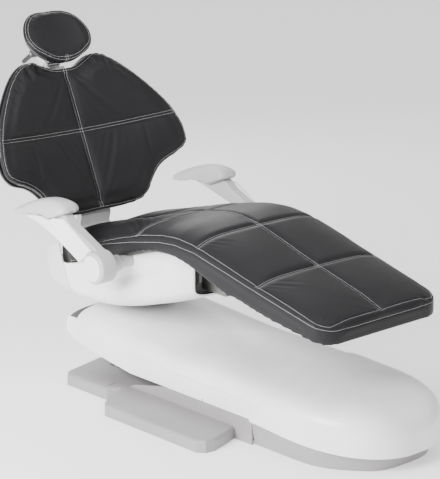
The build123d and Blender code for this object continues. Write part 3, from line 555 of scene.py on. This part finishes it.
def face_row(line):
    """Rays onto a leaning pad's face along an (x, s) line in mm."""
    return [((x * MM, s * MM, AHEAD), BEHIND) for x, s in line]


rows = []
for offset in SEAM_ROWS:
    rows.append(face_row(dense([(offset, 194), (offset, -246)], 3)))
    rows.append(face_row(dense([(-334, offset), (334, offset)], 3)))
for amount in (12, 4.5):
    rows.append(face_row(dense(inward(back_border, amount), 3)))
stitches("back_stitching", back, rows, "back")

# ---------------------------------------------------------------- headrest cushion
HEAD_FRAME = leaning_frame((0, 657, 985), 40)
HEAD_HALF = [(0, 94), (38, 92), (74, 79), (108, 48), (126, 8), (124, -26), (104, -58), (66, -82), (32, -92),
             (0, -94)]
HEAD_THICK = 48
# the headrest narrows by these shares, across and along, towards its shell
HEAD_TAPER = (0.26, 0.07)


def head_front(x, s):
    return -15 + 15 * min(1.0, (x / 92) ** 2 + (s / 150) ** 2)


def head_rear(x, s):
    return -HEAD_THICK + 1


head_outline = smooth_outline([(x * 0.98, s * 0.98) for x, s in HEAD_HALF])
head = pad_form("headrest_upholstery", head_outline, head_front, head_rear, 16, HEAD_FRAME)
modify(head, "REMESH", mode="VOXEL", voxel_size=4 * MM)
modify(head, "SMOOTH", factor=0.5, iterations=6)
points = coordinates(head)
depth = np.clip((-10 * MM - points[:, 2]) / (HEAD_THICK * MM), 0, 1)
points[:, 0] *= 1 - HEAD_TAPER[0] * depth
points[:, 1] *= 1 - HEAD_TAPER[1] * depth
set_coordinates(head, points)
inflate(head, points[:, 2] < (-HEAD_THICK + 10) * MM, 3.0, 5 * MM)
modify(head, "SUBSURF", levels=1)
points, facing = coordinates(head), normals(head)
head_border = smooth_outline(HEAD_HALF)
inset = polyline_distance(points[:, :2] / MM, dense(head_border, 3))
front_side = np.clip((facing[:, 2] - 0.2) / 0.3, 0, 1)
welt = 1.2 * bump(inset - 15, 2.0) + 1.0 * bump(inset - 8, 2.0) - 0.8 * bump(inset - 11.5, 2.0)
set_coordinates(head, points - facing * (welt * front_side * MM)[:, None])
finish_piece(head, "headrest", "upholstery", "headrest_cushion")
rows = [face_row(dense(inward(head_border, amount), 3)) for amount in (15, 8)]
for offset in (-4, 4):
    rows.append([((offset * MM, -0.2, depth * MM), (0, 1, 0)) for depth in np.arange(-30, -6, 3)])
    rows.append(face_row(dense([(offset, -78), (offset, -90)], 3)))
stitches("headrest_stitching", head, rows, "headrest")
shell = make_object("headrest_back_shell", *mesh_lists("headrest_shell"))
local = HEAD_FRAME.inverted()
narrow_across, narrow_along = (1 - 0.75 * taper for taper in HEAD_TAPER)
for vertex in shell.data.vertices:
    x, s, n = local @ vertex.co
    vertex.co = HEAD_FRAME @ Vector((x * narrow_across, s * narrow_along, n))
finish_piece(shell, "headrest", "shell_black", "headrest_shell")

# ---------------------------------------------------------------- casing under the seat
def smooth_curve(at, xs, ys):
    """Smooth curve through (xs, ys), with xs rising."""
    xs, ys = np.array(xs, float), np.array(ys, float)
    slopes = np.gradient(ys, xs)
    i = np.clip(np.searchsorted(xs, at) - 1, 0, len(xs) - 2)
    span = xs[i + 1] - xs[i]
    t = np.clip((at - xs[i]) / span, 0, 1)
    return ((2 * t ** 3 - 3 * t ** 2 + 1) * ys[i] + (t ** 3 - 2 * t ** 2 + t) * span * slopes[i]
            + (3 * t ** 2 - 2 * t ** 3) * ys[i + 1] + (t ** 3 - t ** 2) * span * slopes[i + 1])


# casing along y, in mm: half width, keel height, and the ridge above which its side is scooped
HULL_Y = [-115, -80, -30, 30, 110, 190, 270, 350, 420]
HULL_HALF = [132, 160, 188, 212, 230, 238, 240, 237, 228]
HULL_KEEL = [328, 313, 296, 279, 257, 243, 239, 239, 247]
RIDGE_Y = [-124, -72, 20, 114, 197, 247, 275, 300]
RIDGE_Z = [453, 416, 363, 321, 306, 322, 350, 400]
SCOOP_DEPTH, CASING_WALL = 15, 4
SWIVEL_Y, SWIVEL_HOLE = 260, 98
SWIVEL_HOLE_TOP = 275                  # only faces lower than this are cut by the swivel's hole
REAR_EDGE_Y, REAR_EDGE_Z, REAR_EDGE_LEAN = 308.5, 249, 0.419
UNDER_GAP = 7                          # the casing's rim is this far below the seat's underside
CASING_BOTTOM = 0.26                   # faces lower than this, in metres, belong to the casing's bottom
ARM_AXIS = (80, 420)                   # y and z of the armrests' axis


def step_up(value):
    """0 below 0, 1 above 1, smooth between."""
    value = np.clip(value, 0, 1)
    return value * value * (3 - 2 * value)


def casing_point(y, u):
    """Point of the casing's outside at y; u runs from the keel (0) over the bilge (0.6) to the rim (1)."""
    half, keel = smooth_curve(y, HULL_Y, HULL_HALF), smooth_curve(y, HULL_Y, HULL_KEEL)
    rim = np.interp(y, SEAT_LOW_Y, SEAT_LOW_Z) - UNDER_GAP
    bilge = min(keel + 0.45 * (400 - keel), rim - 8)
    if u < 0.6:
        t = 1 - u / 0.6
        corner = keel + 0.1 * (bilge - keel)
        x = (1 - t) ** 3 * half + 3 * (1 - t) ** 2 * t * half + 3 * (1 - t) * t * t * 0.7 * half
        z = (1 - t) ** 3 * bilge + 3 * (1 - t) ** 2 * t * corner + (3 * (1 - t) * t * t + t ** 3) * keel
    else:
        x, z = half, bilge + (rim - bilge) * (u - 0.6) / 0.4
    ridge = smooth_curve(y, RIDGE_Y, RIDGE_Z)
    scoop = SCOOP_DEPTH * step_up((z - ridge) / 42) * step_up((y + 115) / 130) * step_up((292 - y) / 60)
    return x - scoop, z


def casing_form():
    """Open shell of the casing, with the round hole for the swivel in its bottom."""
    along, around = 84, 46
    verts, faces = [], []
    for j in range(along + 1):
        for k in range(-around, around + 1):
            u = abs(k) / around
            y = 0.0
            for _ in range(6):                       # the rear edge leans, so its y depends on its height
                x, z = casing_point(y, u)
                rear = REAR_EDGE_Y + REAR_EDGE_LEAN * (z - REAR_EDGE_Z)
                y = HULL_Y[0] + (rear - HULL_Y[0]) * j / along
            x, z = casing_point(y, u)
            reach = np.hypot(x, y - SWIVEL_Y)
            if z < SWIVEL_HOLE_TOP and abs(reach - SWIVEL_HOLE) < 5:
                x, y = x * SWIVEL_HOLE / reach, SWIVEL_Y + (y - SWIVEL_Y) * SWIVEL_HOLE / reach
            verts.append(((x if k >= 0 else -x) * MM, y * MM, z * MM))
    ring = 2 * around + 1
    for j in range(along):
        for k in range(ring - 1):
            a = j * ring + k
            quad = (a, a + 1, a + 1 + ring, a + ring)
            centre = sum((Vector(verts[i]) for i in quad), Vector()) / 4 / MM
            if centre.z > SWIVEL_HOLE_TOP or np.hypot(centre.x, centre.y - SWIVEL_Y) > SWIVEL_HOLE - 1:
                faces.append(quad)
    return make_object("bowl_casing", verts, faces)


casing = casing_form()
facing_down = sum(p.normal.z for p in casing.data.polygons if p.center.z < CASING_BOTTOM)
modify(casing, "SOLIDIFY", thickness=CASING_WALL * MM, offset=-1.0 if facing_down < 0 else 1.0)
finish_piece(casing, "seat", "white_cover", "bowl_shroud")


# ---------------------------------------------------------------- armrests
def softened(name, node, voxel, passes, extra=()):
    """Copy of a CAD node, with extra (vertices, faces) forms fused on, its edges rounded by smoothing."""
    mesh = bmesh.new()
    mesh.from_mesh(nodes[node].data)
    for verts, faces in extra:
        made = [mesh.verts.new(v) for v in verts]
        for face in faces:
            mesh.faces.new([made[i] for i in face])
    data = bpy.data.meshes.new(name)
    mesh.to_mesh(data)
    mesh.free()
    obj = bpy.data.objects.new(name, data)
    bpy.context.collection.objects.link(obj)
    modify(obj, "REMESH", mode="VOXEL", voxel_size=voxel * MM)
    modify(obj, "SMOOTH", factor=0.5, iterations=passes)
    return obj


def tube_along_x(x0, x1, centre, radius, sides=40):
    """Closed round bar along X, given in mm, as vertices and faces."""
    angles = [2 * pi * k / sides for k in range(sides)]
    verts = [(x * MM, (centre[0] + radius * cos(a)) * MM, (centre[1] + radius * sin(a)) * MM)
             for x in (x0, x1) for a in angles]
    faces = [(k, (k + 1) % sides, sides + (k + 1) % sides, sides + k) for k in range(sides)]
    return verts, faces + [tuple(reversed(range(sides))), tuple(range(sides, 2 * sides))]


PAD_TOP_Y = [163, 166, 174, 190, 215, 245, 314, 400, 438, 452, 459]
PAD_TOP_Z = [570, 578, 585, 591, 594.5, 595, 584, 557, 541, 532, 526]
PAD_LOW_Y = [163, 176, 200, 226, 252, 286, 340, 430, 459]
PAD_LOW_Z = [567, 560, 551, 541, 534, 538, 535, 520, 522]
PAD_MIDDLE, PAD_HALF = 310, 35
# the profile above is drawn longer and higher than the pad: it is moved, squeezed and let down by these
PAD_FRONT, PAD_SQUEEZE, PAD_DROP = 214, 0.854, 12


def pad_verts(side):
    """Armrest pad: full rounded sections that close in at both ends."""
    around = 36
    verts, faces = [], []
    first, length = PAD_TOP_Y[0], PAD_TOP_Y[-1] - PAD_TOP_Y[0]
    stations = [first + length * (1 - cos(pi * k / 44)) / 2 for k in range(45)]
    for y in stations:
        top, low = smooth_curve(y, PAD_TOP_Y, PAD_TOP_Z), smooth_curve(y, PAD_LOW_Y, PAD_LOW_Z)
        half = PAD_HALF * (1 - max(0, (186 - y) / 24.0) ** 2.6) ** 0.5 if y < 186 else PAD_HALF
        half *= (1 - 0.22 * step_up((y - 240) / 200)) * (1 - max(0, (y - 432) / 28.5) ** 2.4) ** 0.5
        half = max(half, 6)
        seam = low + 0.34 * (top - low)
        for k in range(around):
            a = 2 * pi * k / around
            x = half * np.sign(cos(a)) * abs(cos(a)) ** 0.62
            if sin(a) >= 0:
                z = seam + (top - seam) * abs(sin(a)) ** 0.85
            else:
                z = seam - (seam - low) * abs(sin(a)) ** 0.45
            place = PAD_FRONT + (y - first) * PAD_SQUEEZE
            verts.append((side * (PAD_MIDDLE + x) * MM, place * MM, (z - PAD_DROP) * MM))
    for j in range(len(stations) - 1):
        for k in range(around):
            a, b = j * around + k, j * around + (k + 1) % around
            faces.append((a, b, b + around, a + around))
    faces.append(tuple(range(around)))
    faces.append(tuple(reversed(range((len(stations) - 1) * around, len(stations) * around))))
    return verts, faces


for side, name in ((-1, "right"), (1, "left")):
    body = f"armrest_{name}"
    boss = tube_along_x(side * 206, side * 256, ARM_AXIS, 18)
    arm = softened(f"arm_{name}", f"armrest_arm_{name}", 2.2, 8, [boss])
    finish_piece(arm, body, "armrest_grey", f"armrest_arm_{name}")
    panel = softened(f"arm_panel_{name}", f"armrest_panel_{name}", 1.8, 4)
    finish_piece(panel, body, "white_cover", f"armrest_panel_{name}")
    cap = softened(f"hub_disc_{name}", f"armrest_hub_cap_{name}", 1.0, 3)
    finish_piece(cap, body, "white_cover", f"armrest_hub_cap_{name}")
    pad = make_object(f"pad_{name}", *pad_verts(side))
    modify(pad, "SUBSURF", levels=1)
    finish_piece(pad, body, "armrest_grey", f"armrest_pad_{name}")

# ---------------------------------------------------------------- stage, light and camera
FLOOR_SIZE = 14.0
FLOOR_GLOW, WORLD_STRENGTH = 0.6, 0.8
CHAIR_MIDDLE = Vector((0, -0.1, 0.4))
floor_half = FLOOR_SIZE / 2
floor = make_object("floor", [(-floor_half, -floor_half, 0), (floor_half, -floor_half, 0),
                              (floor_half, floor_half, 0), (-floor_half, floor_half, 0)], [(0, 1, 2, 3)])
floor_finish = new_material("floor_white", (0.93, 0.93, 0.93), 0.9, mottled=0.005)
floor_shader = floor_finish.node_tree.nodes["Principled BSDF"]
floor_shader.inputs["Emission Color"].default_value = (1, 1, 1, 1)
floor_shader.inputs["Emission Strength"].default_value = FLOOR_GLOW
floor.data.materials.append(floor_finish)

world = bpy.data.worlds.new("studio")
world.use_nodes = True
sky = world.node_tree.nodes["Background"]
sky.inputs["Color"].default_value = (1, 1, 1, 1)
sky.inputs["Strength"].default_value = WORLD_STRENGTH
bpy.context.scene.world = world


def soft_light(name, azimuth, elevation, distance, size, power):
    """Square area light aimed at the chair's middle: degrees, metres and watts."""
    a, e = radians(azimuth), radians(elevation)
    away = Vector((sin(a) * cos(e), -cos(a) * cos(e), sin(e)))
    lamp = bpy.data.lights.new(name, "AREA")
    lamp.size = size
    lamp.energy = power
    obj = bpy.data.objects.new(name, lamp)
    bpy.context.collection.objects.link(obj)
    obj.location = CHAIR_MIDDLE + away * distance
    obj.rotation_euler = away.to_track_quat("Z", "Y").to_euler()


soft_light("key", -84, 24, 3.4, 1.8, 270)
soft_light("top", 10, 70, 3.0, 1.6, 16)
soft_light("back_rim", 150, 30, 3.4, 2.0, 35)

VIEW_AZIMUTH, VIEW_ELEVATION, VIEW_DISTANCE = radians(-42.554), radians(15.356), 6.0293
VIEW_RIGHT, VIEW_UP = 0.05171, 0.44163
LENS = 152.6
backward = Vector((sin(VIEW_AZIMUTH) * cos(VIEW_ELEVATION), -cos(VIEW_AZIMUTH) * cos(VIEW_ELEVATION),
                   sin(VIEW_ELEVATION)))
rightward = Vector((cos(VIEW_AZIMUTH), sin(VIEW_AZIMUTH), 0))
upward = backward.cross(rightward)
camera = bpy.data.objects.new("camera", bpy.data.cameras.new("camera"))
camera.data.lens = LENS
placing = Matrix((rightward, upward, backward)).transposed().to_4x4()
placing.translation = backward * VIEW_DISTANCE + rightward * VIEW_RIGHT + upward * VIEW_UP
camera.matrix_world = placing
bpy.context.collection.objects.link(camera)
bpy.context.scene.camera = camera
